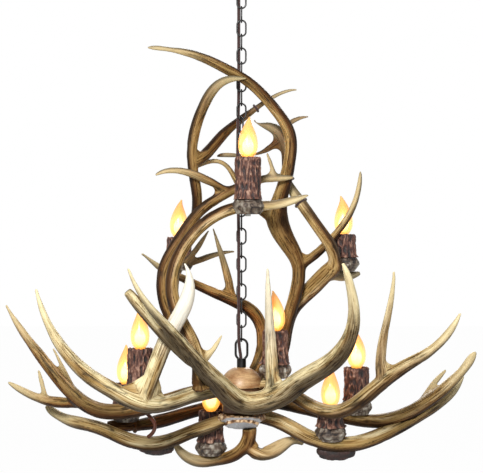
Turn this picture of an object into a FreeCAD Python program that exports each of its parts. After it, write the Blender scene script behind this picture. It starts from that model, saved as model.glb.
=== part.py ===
"""Antler chandelier: a ceiling canopy, a chain and supply cord, and a frame of antlers carrying nine candles.

Origin: the centre of the ceiling face of the canopy.  +X is right and -Y is front.  Millimetres.
"""
import FreeCAD, Part
import math
import os

V = FreeCAD.Vector
UP = V(0, 0, 1)

# ---------------------------------------------------------------- driving dimensions, mm
SPREAD = 870.0            # tip to tip across the antlers
PALM_THICK = 34.0         # no part of an antler is thicker than this from front to back
SEAT = 0.3                # gap between pieces that are fitted to each other
NEAR = 3.0                # pieces further apart than this are not fitted to each other
SECTION_STEP = 32.0       # between the sections of a branch
BEAD_STEP = 8.0           # between the checks for nearness along a branch

CANOPY_RADIUS = 62.0
CANOPY_HEIGHT = 26.0
CANOPY_WALL = 1.2
BAR_LENGTH = 104.0        # crossbar behind the canopy
BAR_WIDTH = 20.0
BAR_THICK = 2.0
BOX_SPACING = 88.9        # between the outlet box screws
SLOT_RADIUS = 2.4
SLOT_LENGTH = 12.0

PIPE_RADIUS = 4.85        # threaded nipples
PIPE_BORE = 3.6
PIPE_INTO_ANTLER = 16.0   # below the foot of a candle's cup
NUT_RADIUS = 9.0
NUT_THICK = 4.0
COLLAR_RADIUS = 8.5       # screw collar of each loop
COLLAR_HEIGHT = 12.0
LOOP_WIRE = 4.4
LOOP_WIDTH = 26.0
LOOP_LENGTH = 42.0
CANOPY_LOOP_LENGTH = 36.0

LINK_COUNT = 26
LINK_WIRE = 3.2
LINK_LENGTH = 32.3
LINK_WIDTH = 19.4
LINK_GAP = 0.2
CORD_RADIUS = 3.0
CORD_GAP = 0.5
CHAIN_TWIST = 90.0        # degrees that the chain winds round in its middle
TWIST_START = 8           # first and last link of that stretch
TWIST_END = 17

HUB_RADIUS = 36.0         # turned block that the antlers are screwed to
HUB_HEIGHT = 50.0
ROSETTE_RADIUS = 42.0     # burr under the block
ROSETTE_KNOBS = 11
ROSETTE_TIP = 20.0        # degrees that it is tipped to the front
CAP_RADIUS = 39.0         # domed cap on it
CAP_HEIGHT = 36.0
DOME_RISE = 1.04          # height of the whole dome, before its top is cut flat for the loop

BULB_RADIUS = 17.5
BULB_LENGTH = 76.0
BULB_CAP_RADIUS = 5.9
BULB_CAP_LENGTH = 20.0
SLEEVE_RADIUS = 23.0
SLEEVE_BORE = 18.4
SOCKET_RADIUS = 11.0
SOCKET_HEIGHT = 34.0
SHELL_WALL = 0.8
FIT = 0.2                 # radial clearance of a turning fit
CUP_RADIUS = 31.0         # flared foot of a candle
CUP_HEIGHT = 14.0
CUP_SKIRT = 12.0          # further down, to be coped over the antler

# ---------------------------------------------------------------- the photograph as a measure
PHOTO_ACROSS = 469.5      # pixels from the left-most to the right-most tip
AXIS_U = 241.5            # pixel column of the chain
LEVEL_V = 236.5           # pixel row at eye level
CAP_TOP_V = 367.0         # pixel row of the top of the hub's cap
EYE = 2600.0              # distance of the eye from the chain, mm
SCALE = SPREAD / PHOTO_ACROSS

# ---------------------------------------------------------------- heights, top down
NIPPLE_TOP = -1.0
COLLAR_TOP = -CANOPY_HEIGHT - SEAT
CANOPY_LOOP_TOP = COLLAR_TOP - COLLAR_HEIGHT
SWAY_Z = CANOPY_LOOP_TOP - CANOPY_LOOP_LENGTH + LOOP_WIRE / 2
LINK_PITCH = LINK_LENGTH - 2 * LINK_WIRE - LINK_GAP
FIRST_LINK_Z = SWAY_Z + (LOOP_WIRE + LINK_WIRE) / 2 + LINK_GAP - (LINK_LENGTH - LINK_WIRE) / 2
LAST_LINK_Z = FIRST_LINK_Z - (LINK_COUNT - 1) * LINK_PITCH
TILT_Z = LAST_LINK_Z - (LINK_LENGTH - LINK_WIRE) / 2
HUB_LOOP_TOP = TILT_Z + LINK_WIRE / 2 + LINK_GAP + LOOP_WIRE
HUB_LOOP_BOTTOM = HUB_LOOP_TOP - LOOP_LENGTH
CAP_TOP = HUB_LOOP_BOTTOM - COLLAR_HEIGHT
CAP_BOTTOM = CAP_TOP - CAP_HEIGHT
HUB_BOTTOM = CAP_BOTTOM - HUB_HEIGHT
EYE_Z = CAP_TOP + (CAP_TOP_V - LEVEL_V) * SCALE

# ---------------------------------------------------------------- antler routes
# Each branch is a list of (column, row, depth, width): pixels of the photograph, with depth in mm behind the
# chain.  The first branch of an antler is its beam; the others are tines that start inside it.
ANTLERS = {
    "antler_front_bow": [
        [(128, 268, -300, 3), (145, 301, -285, 7), (170, 330, -245, 11), (198, 363, -175, 17),
         (223, 389, -100, 22), (246, 403, -60, 25), (272, 399, -64, 25), (303, 380, -110, 22),
         (337, 357, -175, 19), (353, 326, -215, 14), (350, 285, -235, 9), (342.5, 263, -240, 3)],
        [(127, 291, -235, 9), (140, 307, -230, 12), (163, 334, -215, 12), (192, 362, -182, 12)],
        [(267.5, 268.5, -74, 2.5), (268.5, 300, -66, 5.5), (270.5, 340, -60, 9), (273, 392, -62, 12)],
    ],
    "antler_left_front": [
        [(36, 289, -150, 3.5), (45.5, 318, -158, 7.5), (61, 346, -168, 12), (87, 374, -182, 16),
         (117, 393, -194, 17), (141, 404, -188, 17), (164, 404, -158, 16), (186, 397, -112, 16),
         (210, 391, -62, 16), (237, 389, -10, 14)],
        [(184.3, 263, -136, 2), (189.5, 285, -146, 9), (183, 309, -162, 13.5), (170, 333, -178, 14),
         (157, 362, -186, 14), (143, 402, -189, 12)],
    ],
    "antler_left_middle": [
        [(6, 305, 40, 3), (24, 334, 34, 8), (46, 363, 22, 12), (72, 393, 6, 15),
         (95, 409, -8, 16.5), (123, 411.5, -12, 16), (152, 405.5, -10, 16), (178, 397.5, -14, 15.5),
         (202, 390, -14, 12), (237, 389, -8, 12)],
        [(8, 382, 90, 2.5), (27, 393, 74, 8), (52, 401.5, 44, 11.5), (76, 403, 14, 11), (90, 404, -6, 8)],
        [(38.6, 370, 70, 2.5), (41.5, 382, 64, 5), (46, 399, 54, 6)],
        [(53, 348.5, 50, 2.5), (61, 364, 30, 5), (76, 395, 2, 7)],
    ],
    "antler_left_low": [
        [(46, 406, 110, 3), (58, 415, 98, 9), (75, 422, 66, 12.5), (102, 429, 24, 13.5),
         (132, 441, 6, 15), (160, 443, 0, 15), (191, 432, -6, 14), (214, 424, -8, 14), (238, 418, -4, 14)],
    ],
    "antler_left_rear": [
        [(107, 426, 55, 9), (128, 426, 58, 11), (160, 421, 70, 14), (195, 411, 78, 13),
         (220, 405, 58, 13), (240, 400, 18, 13)],
    ],
    "antler_right_front": [
        [(460.5, 313, -150, 3), (450, 331, -152, 8), (430, 351, -150, 10), (403, 367, -142, 14),
         (386, 379, -132, 16), (366, 396, -112, 15.5), (340, 411, -78, 14.5), (316, 408, -48, 14),
         (290, 393, -26, 14), (248, 388, -4, 13)],
        [(394, 271, -170, 3), (389.5, 308, -160, 7), (382, 347, -146, 10), (382, 382, -131, 12)],
    ],
    "antler_right_middle": [
        [(475.5, 351.5, 110, 3), (463, 370, 104, 9), (446, 387, 88, 12), (422, 405, 62, 14),
         (388, 420, 36, 15), (352, 419, 21, 13), (310, 410, 24, 13), (245, 399, 6, 13)],
        [(446, 370, 130, 2.5), (437, 380, 116, 6), (420, 404, 64, 8)],
    ],
    "antler_right_low": [
        [(463, 376, 170, 3), (452, 391, 148, 10), (425, 411, 84, 14), (382, 434.5, 18, 15),
         (345, 444.5, -16, 16), (312, 438.5, -20, 15), (282, 423, -10, 15), (247, 417, -2, 14)],
    ],
    "antler_bottom": [
        [(174, 441, 32, 3), (181, 452, 31, 9), (194, 460, 30, 12), (216, 460, 27, 12),
         (236, 454, 14, 13), (246, 444, 8, 14), (249, 428, 2, 15)],
        [(303, 444, 24, 3), (288, 442, 19, 8), (270, 452, 12, 11), (247, 444, 8, 10)],
    ],
    "antler_rear_bow": [
        [(243, 403, 10, 17), (244, 405, 60, 20), (248, 398, 110, 19), (254, 380, 175, 16),
         (263, 350, 235, 13), (270, 323, 275, 9), (275, 300, 300, 3.5)],
        [(165, 325, 290, 3), (182, 344, 262, 8), (203, 368, 200, 10), (245, 404, 80, 12)],
        [(352, 333, 290, 3), (337, 357, 262, 8), (303, 381, 195, 11), (247, 403, 90, 12)],
    ],
    "antler_front_arch": [
        [(202, 388, -128, 15), (199, 372, -140, 15), (197, 355, -148, 14), (184, 326, -132, 13.5),
         (174, 303, -115, 13.5), (172.5, 277, -102, 13.5), (184, 247, -94, 13), (209, 220, -88, 12.5),
         (243, 206.5, -86, 12), (273, 205, -86, 9.5), (297, 199, -84, 7), (308.5, 195, -82, 2.5)],
        [(222, 335, -146, 2), (216, 345, -146, 5), (199, 366, -142, 8)],
    ],
    "antler_second_arch": [
        [(294, 177.3, -36, 2), (280, 178, -38, 8), (258, 180, -41, 8.5), (227, 193, -47, 11),
         (203, 208.5, -52, 11), (180, 238, -56, 12), (163, 272, -60, 12), (166, 308, -62, 12),
         (184, 345, -52, 11), (210, 380, -40, 11), (236, 392, -10, 12)],
        [(155.3, 175.2, -78, 2.5), (167, 170.8, -74, 5.5), (193.6, 174.4, -64, 8.4), (229, 191, -48, 8)],
        [(266.7, 152.6, -48, 2), (270.5, 163, -44, 4.5), (275, 178, -39, 6.5)],
    ],
    "antler_left_arch": [
        [(246.4, 78.2, -44, 2), (235, 78.5, -47, 6), (219, 84, -51, 9.5), (205, 103, -51, 11),
         (195, 130, -47, 11.5), (192, 160, -44, 11), (196.6, 193.6, -36, 11), (193, 225, -14, 10),
         (175, 265, 12, 10), (174, 300, 20, 10), (187, 342, 34, 10), (207, 371, 58, 11), (226, 386, 44, 11),
         (241, 393, 12, 11)],
        [(297, 89.8, 34, 1.8), (284, 92, 38, 3.8), (262, 104, 40, 5.4), (243, 118, 36, 8),
         (221, 137, 14, 11), (206, 154, -20, 12), (194, 162, -42, 11)],
    ],
    "antler_top_arch": [
        [(147.3, 47.6, -60, 1.8), (166.8, 49.1, -58, 5), (197.4, 55.8, -52, 9), (228, 69.8, -40, 11),
         (251, 84, -28, 11), (273, 107, -22, 11.5), (289.7, 135, -20, 12.7), (289.5, 162, -20, 12.5),
         (281, 195, -8, 15), (277, 217, 5, 23), (286, 240, 13, 19), (298, 264, 18, 14),
         (295, 296, 19, 13), (284, 335, 22, 13), (278, 362, 20, 13), (250, 390, 6, 13)],
        [(194, 167, -32, 3.5), (206, 162.5, -4, 5), (224, 163.7, 16, 5), (236, 180, 24, 6.5),
         (250, 199, 20, 9), (272, 216, 8, 13)],
        [(360.4, 171, 36, 2), (359, 187, 36, 5.4), (350.4, 212.7, 32, 7), (335, 235, 28, 7.6),
         (316, 254, 22, 9.5), (299, 266, 18, 11)],
    ],
    "antler_top_fork": [
        [(254, 119.5, 38, 3), (266.7, 125.8, 40, 8), (279, 133, 38, 12), (286, 150, 36, 11),
         (286, 180, 36, 10), (280, 212, 26, 9)],
        [(216.5, 156.5, 34, 1.8), (240, 155.5, 38, 4), (264.4, 151, 40, 5), (274, 145, 38, 8.4),
         (284, 138, 37, 8)],
        [(308.8, 116.6, 42, 2), (296, 119.5, 41, 4.8), (281, 133, 38, 7)],
    ],
    "antler_right_upper": [
        [(248, 400, 30, 13), (272, 378, 78, 13), (284, 345, 76, 13), (292, 312, 56, 13),
         (314, 286, 36, 17), (330, 270, 20, 17), (340, 259, 10, 8)],
        [(286, 166, 13, 3), (290.5, 187, 12, 9), (301, 203, 6, 11.5), (320, 230, -4, 12),
         (333, 252, 4, 13), (334, 266, 14, 12), (326, 277, 24, 9)],
        [(360, 273, 70, 4), (346, 276, 60, 10), (329, 271, 26, 13)],
    ],
    "antler_left_cross": [
        [(141.5, 253.6, -50, 3), (160.6, 268, -30, 7), (182, 278, -4, 8), (206.5, 289.5, 18, 10),
         (236, 302, 34, 13), (256, 316, 44, 13), (262, 335, 50, 11.5), (259, 358, 52, 11), (246, 380, 22, 11)],
        [(213, 228, 70, 2), (221, 253.6, 58, 6), (226.5, 273, 46, 8), (232, 300, 34, 10)],
    ],
    "antler_left_upper": [
        [(208.8, 230.6, 60, 2), (202.7, 239.8, 64, 4.6), (192.5, 254.5, 75, 6.5), (178, 271, 108, 9),
         (174, 290, 118, 9.5), (181, 325, 122, 10), (199, 357, 112, 10), (222, 385, 95, 11),
         (243, 401, 55, 12)],
        [(234.8, 251.6, 80, 2), (216.4, 254.3, 86, 5.4), (198.8, 260.4, 94, 7), (181, 267, 106, 6)],
    ],
}
# Burrs: antler, (column, row, depth) of the ring's centre, its width in pixels, and a point along the beam.
BURRS = {
    "antler_front_arch": ((202, 386, -130), 21, (199, 372, -140)),
    "antler_left_rear": ((134, 425.5, 60), 15.5, (160, 421, 70)),
}
# Candles: column, row of the sleeve's rim, depth, sleeve height, way the flame tip bends, antler below.
CANDLES = [
    (248.0, 157, -88, 76, 60, "antler_front_arch"),
    (179.0, 237, 111, 38, 20, "antler_left_upper"),
    (343.5, 234, 58, 44, 180, "antler_right_upper"),
    (140.0, 348, -11, 74, 240, "antler_left_middle"),
    (126.0, 383, 58, 46, 90, "antler_left_rear"),
    (211.0, 410, 28, 58, 300, "antler_bottom"),
    (275.5, 330, -20, 62, 160, "antler_right_front"),
    (356.5, 367, 21, 62, 200, "antler_right_middle"),
    (330.5, 406, -20, 38, 40, "antler_right_low"),
]


def seen(column, row, depth):
    """The point that far behind the chain, on the line of sight through a pixel."""
    grow = SCALE * (EYE + depth) / EYE
    return V((column - AXIS_U) * grow, depth, EYE_Z + (LEVEL_V - row) * grow)


def cylinder(radius, top, bottom, at=V(0, 0, 0)):
    return Part.makeCylinder(radius, top - bottom, V(at.x, at.y, bottom), UP)


def tube(radius, bore, top, bottom, at=V(0, 0, 0)):
    return cylinder(radius, top, bottom, at).cut(cylinder(bore, top + 1, bottom - 1, at))


def turned(profile, at=V(0, 0, 0)):
    """Revolve a closed (radius, height) outline about the vertical through a point."""
    points = [V(at.x + r, at.y, z) for r, z in profile]
    face = Part.Face(Part.makePolygon(points + points[:1]))
    return face.revolve(V(at.x, at.y, 0), UP, 360)


def oval(centre, across, thick):
    """An oval section, given its half width and its half thickness as vectors; a round one is a hair wider."""
    return Part.Wire(Part.Ellipse(centre + across * 1.0001, centre + thick, centre).toShape())


def route_of(points, step):
    """Places about a step apart along the smooth line through a branch's points: place, direction, width in mm."""
    line = Part.BSplineCurve()
    line.interpolate(Points=[seen(*p[:3]) for p in points])
    widths = [p[3] * SCALE * (EYE + p[2]) / EYE for p in points]
    stops = [line.parameter(seen(*p[:3])) for p in points]
    route = []
    for index in range(len(points) - 1):
        first, last = stops[index:index + 2]
        count = max(1, round(line.length(first, last) / step))
        for number in range(count):
            share = number / count
            route.append((first + (last - first) * share, widths[index] * (1 - share) + widths[index + 1] * share))
    route.append((stops[-1], widths[-1]))
    return [(line.value(place), V(*line.tangent(place)[0]), width) for place, width in route]


def branch(points, grow=0.0):
    """One beam or tine: a loft through oval sections along a smooth route."""
    sections = []
    last_across = None
    for place, along, width in route_of(points, SECTION_STEP):
        across = along.cross(V(0, 1, 0))
        if across.Length < 0.55:
            across = along.cross(V(0, 0, 1))
        if last_across is not None:
            across = last_across - along * last_across.dot(along)
        across.normalize()
        last_across = across
        thick = along.cross(across)
        half = width / 2 + grow
        half_thick = min(width, PALM_THICK) / 2 + grow
        sections.append(oval(place, across * half, thick * half_thick))
    return Part.makeLoft(sections, True, False)


def beads(points):
    """Balls strung along a branch, to find quickly what it comes near."""
    return [(place, width / 2) for place, along, width in route_of(points, BEAD_STEP)]


def near(spots, others):
    """Whether two strings of beads come within a seat's gap of each other."""
    for place, radius in spots:
        for other, other_radius in others:
            reach = radius + other_radius + NEAR
            if abs(place.x - other.x) < reach and place.distanceToPoint(other) < reach:
                return True
    return False


def burr(centre, width, towards, grow=0.0):
    """The coronet at an antler's base: a knobbly ring, drawn in at both faces."""
    middle = seen(*centre)
    along = (seen(*towards) - middle).normalize()
    across = along.cross(V(1, 0, 0) if abs(along.x) < 0.7 else V(0, 1, 0)).normalize()
    thick = along.cross(across)
    half = width * SCALE * (EYE + centre[2]) / EYE / 2 + grow
    knobs = 9
    sections = []
    for shift, share in ((-0.22, 0.8), (0.0, 1.0), (0.22, 0.78)):
        points = []
        for step in range(2 * knobs):
            angle = math.pi / knobs * step
            reach = half * share * (1.0 + (0.07 if step % 2 else -0.05))
            points.append(middle + along * (shift * half) + across * (reach * math.cos(angle))
                          + thick * (reach * math.sin(angle)))
        curve = Part.BSplineCurve()
        curve.interpolate(Points=points, PeriodicFlag=True)
        sections.append(Part.Wire(curve.toShape()))
    return Part.makeLoft(sections, True, False)


def antler(name, grow=0.0):
    """Beam, tines and burr of one antler as one solid."""
    branches = [branch(points, grow) for points in ANTLERS[name]]
    if name in BURRS:
        centre, width, towards = BURRS[name]
        branches.append(burr(centre, width, towards, grow))
    solid = branches[0]
    for other in branches[1:]:
        solid = solid.fuse(other)
    return solid


def biggest(shape):
    return max(shape.Solids, key=lambda solid: solid.Volume)


def cut_back(solid, makers):
    """Cut by one tool after another, keeping the main piece.  A cut that fails is made again, a little wider."""
    for maker in makers:
        for gap in (SEAT, SEAT * 1.3, SEAT * 1.7):
            rest = biggest(solid.cut(maker(gap)))
            if rest.isValid():
                break
        solid = rest
    return solid


def save(name, shape):
    shape.exportStep("parts/%s.step" % name)


def ring(wire, width, length, centre, angle):
    """An oval ring of round wire, upright, its plane turned by an angle about the vertical."""
    bend = (width - wire) / 2
    rise = (length - width) / 2
    left, right = V(-bend, 0, 0), V(bend, 0, 0)
    up, down = V(0, 0, rise), V(0, 0, -rise)
    route = Part.Wire([
        Part.LineSegment(right + down, right + up).toShape(),
        Part.Arc(right + up, V(0, 0, rise + bend), left + up).toShape(),
        Part.LineSegment(left + up, left + down).toShape(),
        Part.Arc(left + down, V(0, 0, -rise - bend), right + down).toShape(),
    ])
    section = Part.Wire(Part.Circle(right, UP, wire / 2).toShape())
    solid = route.makePipeShell([section], True, False)
    solid.rotate(V(0, 0, 0), UP, angle)
    solid.translate(centre)
    return solid


def link_angle(index):
    """Heading of a link's plane: every other link is square to the last, with a slow twist."""
    share = (index - TWIST_START) / (TWIST_END - TWIST_START)
    return 90.0 * (index + 1) + CHAIN_TWIST * min(max(share, 0.0), 1.0)


def chain():
    links = []
    for index in range(LINK_COUNT):
        centre = V(0, 0, FIRST_LINK_Z - index * LINK_PITCH)
        links.append(ring(LINK_WIRE, LINK_WIDTH, LINK_LENGTH, centre, link_angle(index)))
    return Part.makeCompound(links)


def cord():
    """The supply cord: down the nipple, along the groove between the links, and into the hub."""
    corner = LINK_WIRE / 2 + CORD_RADIUS + CORD_GAP
    reach = corner * math.sqrt(2)
    aside = LOOP_WIRE / 2 + CORD_RADIUS + CORD_GAP
    past_loop = math.hypot(corner, aside)
    turn_aside = math.degrees(math.atan2(aside, corner))
    stops = [(0.0, 0, NIPPLE_TOP - 2), (0.0, 0, CANOPY_LOOP_TOP - 2), (past_loop, 180 - turn_aside, SWAY_Z + LINK_WIRE * 3)]
    for index in range(0, LINK_COUNT, 2):
        height = FIRST_LINK_Z - index * LINK_PITCH
        heading = 135.0 + link_angle(index) - 90.0 * (index + 1)
        stops.append((reach, heading, height))
    stops += [(past_loop, 180 + turn_aside, TILT_Z - LINK_WIRE * 2), (0.0, 0, HUB_LOOP_BOTTOM + 2),
              (0.0, 0, CAP_TOP - CAP_HEIGHT / 2)]
    points = []
    for radius, heading, height in stops:
        turn = math.radians(heading)
        points.append(V(radius * math.cos(turn), radius * math.sin(turn), height))
    edges = []
    here = points[0]
    for before, corner_point, after in zip(points, points[1:], points[2:]):
        into = corner_point - before
        out = after - corner_point
        trim = 0.45 * min(into.Length, out.Length)
        into.normalize()
        out.normalize()
        start = corner_point - into * trim
        end = corner_point + out * trim
        if into.getAngle(out) < 1e-4:
            continue
        half = into.getAngle(out) / 2
        radius = trim / math.tan(half)
        inward = (out - into).normalize()
        middle = corner_point + inward * (radius / math.cos(half) - radius)
        edges.append(Part.LineSegment(here, start).toShape())
        edges.append(Part.Arc(start, middle, end).toShape())
        here = end
    edges.append(Part.LineSegment(here, points[-1]).toShape())
    route = Part.Wire(edges)
    section = Part.Wire(Part.Circle(points[0], UP, CORD_RADIUS).toShape())
    return route.makePipeShell([section], True, False)


def threaded_loop(top, length, standing):
    """A ring with a screw collar: above it when it hangs, below it when it is standing."""
    centre = V(0, 0, top - length / 2)
    body = ring(LOOP_WIRE, LOOP_WIDTH, length, centre, 0)
    if standing:
        low, high = top - length - COLLAR_HEIGHT, top - length + LOOP_WIRE
    else:
        low, high = top - LOOP_WIRE, top + COLLAR_HEIGHT
    body = body.fuse(cylinder(COLLAR_RADIUS, high, low))
    return body.cut(cylinder(PIPE_RADIUS + FIT, high + 1, low - 1))


def canopy():
    outer, wall = CANOPY_RADIUS, CANOPY_WALL
    top, low = 0.0, -CANOPY_HEIGHT
    neck = PIPE_RADIUS + FIT
    profile = [(outer, top), (outer, top - 4), (outer * 0.93, top - 9), (outer * 0.72, low + 7),
               (outer * 0.4, low + 1.5), (NUT_RADIUS + 4, low), (neck, low), (neck, low + wall),
               (NUT_RADIUS + 4, low + wall), (outer * 0.4, low + 1.5 + wall),
               (outer * 0.72 - wall / 2, low + 7 + wall), (outer * 0.93 - wall, top - 9 + wall / 2),
               (outer - wall, top - 4), (outer - wall, top)]
    return turned(profile)


def crossbar():
    bar = Part.makeBox(BAR_LENGTH, BAR_WIDTH, BAR_THICK, V(-BAR_LENGTH / 2, -BAR_WIDTH / 2, -BAR_THICK))
    bar = bar.cut(cylinder(PIPE_RADIUS + FIT, 1, -BAR_THICK - 1))
    for side in (-1, 1):
        middle = side * BOX_SPACING / 2
        half = SLOT_LENGTH / 2 - SLOT_RADIUS
        slot = Part.makeBox(2 * half, 2 * SLOT_RADIUS, BAR_THICK + 2, V(middle - half, -SLOT_RADIUS, -BAR_THICK - 1))
        for end in (-half, half):
            slot = slot.fuse(cylinder(SLOT_RADIUS, 1, -BAR_THICK - 1, V(middle + end, 0, 0)))
        bar = bar.cut(slot.removeSplitter())
    return bar


def hex_nut(top, thick, at=V(0, 0, 0)):
    corners = []
    for step in range(7):
        angle = math.radians(60 * step)
        corners.append(V(at.x + NUT_RADIUS * math.cos(angle), at.y + NUT_RADIUS * math.sin(angle), top - thick))
    nut = Part.Face(Part.makePolygon(corners)).extrude(V(0, 0, thick))
    return nut.cut(cylinder(PIPE_RADIUS + FIT / 2, top + 1, top - thick - 1, at))


def hub_cap():
    """A domed cap, bored for the nipple."""
    dome = Part.makeSphere(CAP_RADIUS)
    matrix = FreeCAD.Matrix()
    matrix.scale(1.0, 1.0, DOME_RISE * CAP_HEIGHT / CAP_RADIUS)
    dome = dome.transformGeometry(matrix)
    dome.translate(V(0, 0, CAP_BOTTOM))
    dome = dome.common(cylinder(CAP_RADIUS + 1, CAP_TOP - SEAT, CAP_BOTTOM))
    return dome.cut(cylinder(PIPE_RADIUS + FIT, CAP_TOP + 1, CAP_BOTTOM - 1))


def hub_body():
    profile = [(0, CAP_BOTTOM), (HUB_RADIUS - 2, CAP_BOTTOM), (HUB_RADIUS, CAP_BOTTOM - 2),
               (HUB_RADIUS, HUB_BOTTOM + 4), (HUB_RADIUS - 4, HUB_BOTTOM), (0, HUB_BOTTOM)]
    return turned(profile).cut(cylinder(PIPE_RADIUS + FIT, CAP_BOTTOM + 1, CAP_BOTTOM - 24))


def fit_antlers():
    """Each antler is cut back from the hub and from the antlers fitted before it, so that it rests on them."""
    hub = [lambda gap: cylinder(HUB_RADIUS + gap, CAP_BOTTOM + gap, HUB_BOTTOM - gap),
           lambda gap: cylinder(CAP_RADIUS + gap, CAP_TOP, CAP_BOTTOM), hub_rosette]
    strings = {name: [beads(points) for points in beam] for name, beam in ANTLERS.items()}
    fitted = {}
    for name in ANTLERS:
        makers = list(hub)
        touched = []
        for other in fitted:
            for points, spots in zip(ANTLERS[other], strings[other]):
                if any(near(spots, own) for own in strings[name]):
                    makers.append(lambda gap, points=points: branch(points, gap))
                    touched.append(other)
            if other in touched and other in BURRS:
                makers.append(lambda gap, row=BURRS[other]: burr(*row, gap))
        fitted[name] = cut_back(antler(name), makers)
        print(name, round(fitted[name].Volume / 1000), "cm3, fitted to", sorted(set(touched)))
    return fitted


def hub_rosette(grow=0.0):
    """An antler's burr turned face down under the hub, with its sawn butt below, tipped to the front."""
    tip = math.radians(ROSETTE_TIP)
    down = V(0, -math.sin(tip), -math.cos(tip))
    fore = V(0, -math.cos(tip), math.sin(tip))
    middle = V(0, -ROSETTE_RADIUS * math.sin(tip) * 0.8, HUB_BOTTOM - ROSETTE_RADIUS * math.sin(tip) * 0.5)
    sections = []
    for drop, share in ((-9 - grow, 0.76), (-3, 0.98), (4, 1.0), (8, 0.78), (15 + grow, 0.7)):
        points = []
        for step in range(2 * ROSETTE_KNOBS):
            angle = math.pi / ROSETTE_KNOBS * step
            reach = ROSETTE_RADIUS * share * (1.05 if step % 2 else 0.95) + grow
            points.append(middle + down * drop + V(reach * math.cos(angle), 0, 0) + fore * (reach * math.sin(angle)))
        curve = Part.BSplineCurve()
        curve.interpolate(Points=points, PeriodicFlag=True)
        sections.append(Part.Wire(curve.toShape()))
    solid = Part.makeLoft(sections, True, False)
    return solid.cut(cylinder(HUB_RADIUS + 20, HUB_BOTTOM + 40, HUB_BOTTOM - SEAT + grow))


class Candle:
    """Places of one candle's pieces, from its rim down."""

    def __init__(self, column, row, depth, height, bend, below):
        self.at = seen(column, row, depth)
        self.rim = self.at.z
        self.foot = self.rim - height
        self.bend = bend
        self.below = below
        self.socket_low = self.rim - SOCKET_HEIGHT - 2
        self.bulb_low = self.rim - 24
        self.pipe_low = self.foot - CUP_HEIGHT - PIPE_INTO_ANTLER

    def sleeve(self):
        r, z0, z1 = SLEEVE_RADIUS, self.foot, self.rim
        profile = [(SLEEVE_BORE, z0), (r + 1.5, z0), (r, z0 + 5), (r - 0.6, (z0 + z1) / 2), (r, z1 - 3),
                   (r - 1.6, z1), (SLEEVE_BORE, z1)]
        return turned(profile, self.at)

    def cup(self):
        """The flared foot, before it is coped over the antler below."""
        z1 = self.foot - SEAT
        z0 = z1 - CUP_HEIGHT
        r = CUP_RADIUS
        low = z0 - CUP_SKIRT
        profile = [(0, low), (r - 9, low), (r, z0 + 1), (r - 1, z0 + 6), (SLEEVE_RADIUS + 1.5, z1), (0, z1)]
        return turned(profile, self.at)

    def pipe_hole(self):
        return cylinder(PIPE_RADIUS + FIT, self.rim, self.pipe_low - SEAT, self.at)

    def socket(self):
        bore = BULB_CAP_RADIUS + FIT + SHELL_WALL
        body = cylinder(SOCKET_RADIUS, self.rim - 6, self.socket_low, self.at)
        body = body.cut(cylinder(bore, self.rim, self.bulb_low - 2, self.at))
        return body.cut(cylinder(PIPE_RADIUS + FIT / 2, self.socket_low + 6, self.socket_low - 1, self.at))

    def shell(self):
        bore = BULB_CAP_RADIUS + FIT
        contact = cylinder(bore + SHELL_WALL, self.bulb_low - SEAT, self.bulb_low - 2, self.at)
        return contact.fuse(tube(bore + SHELL_WALL, bore, self.rim - 7, self.bulb_low - 2, self.at))

    def pipe(self):
        return tube(PIPE_RADIUS, PIPE_BORE, self.socket_low + 6, self.pipe_low, self.at)

    def bulb_cap(self):
        z0 = self.bulb_low
        r = BULB_CAP_RADIUS
        profile = [(0, z0), (2.6, z0), (r, z0 + 3), (r, z0 + BULB_CAP_LENGTH), (0, z0 + BULB_CAP_LENGTH)]
        return turned(profile, self.at)

    def glass(self):
        """The flame-shaped bulb: round sections, with the tip bent over."""
        z0 = self.bulb_low + BULB_CAP_LENGTH
        heading = math.radians(self.bend)
        lean = V(math.cos(heading), math.sin(heading), 0)
        shape = ((0.0, 0.34, 0), (0.1, 0.72, 0), (0.24, 0.96, 0), (0.38, 1.0, 0), (0.56, 0.86, 0),
                 (0.74, 0.56, 0.01), (0.88, 0.28, 0.03), (1.0, 0.07, 0.07))
        sections = []
        for share, fat, shift in shape:
            centre = V(self.at.x, self.at.y, z0 + share * BULB_LENGTH) + lean * (shift * BULB_LENGTH)
            radius = BULB_RADIUS * fat
            sections.append(oval(centre, V(radius, 0, 0), V(0, radius, 0)))
        return Part.makeLoft(sections, True, False)


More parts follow.
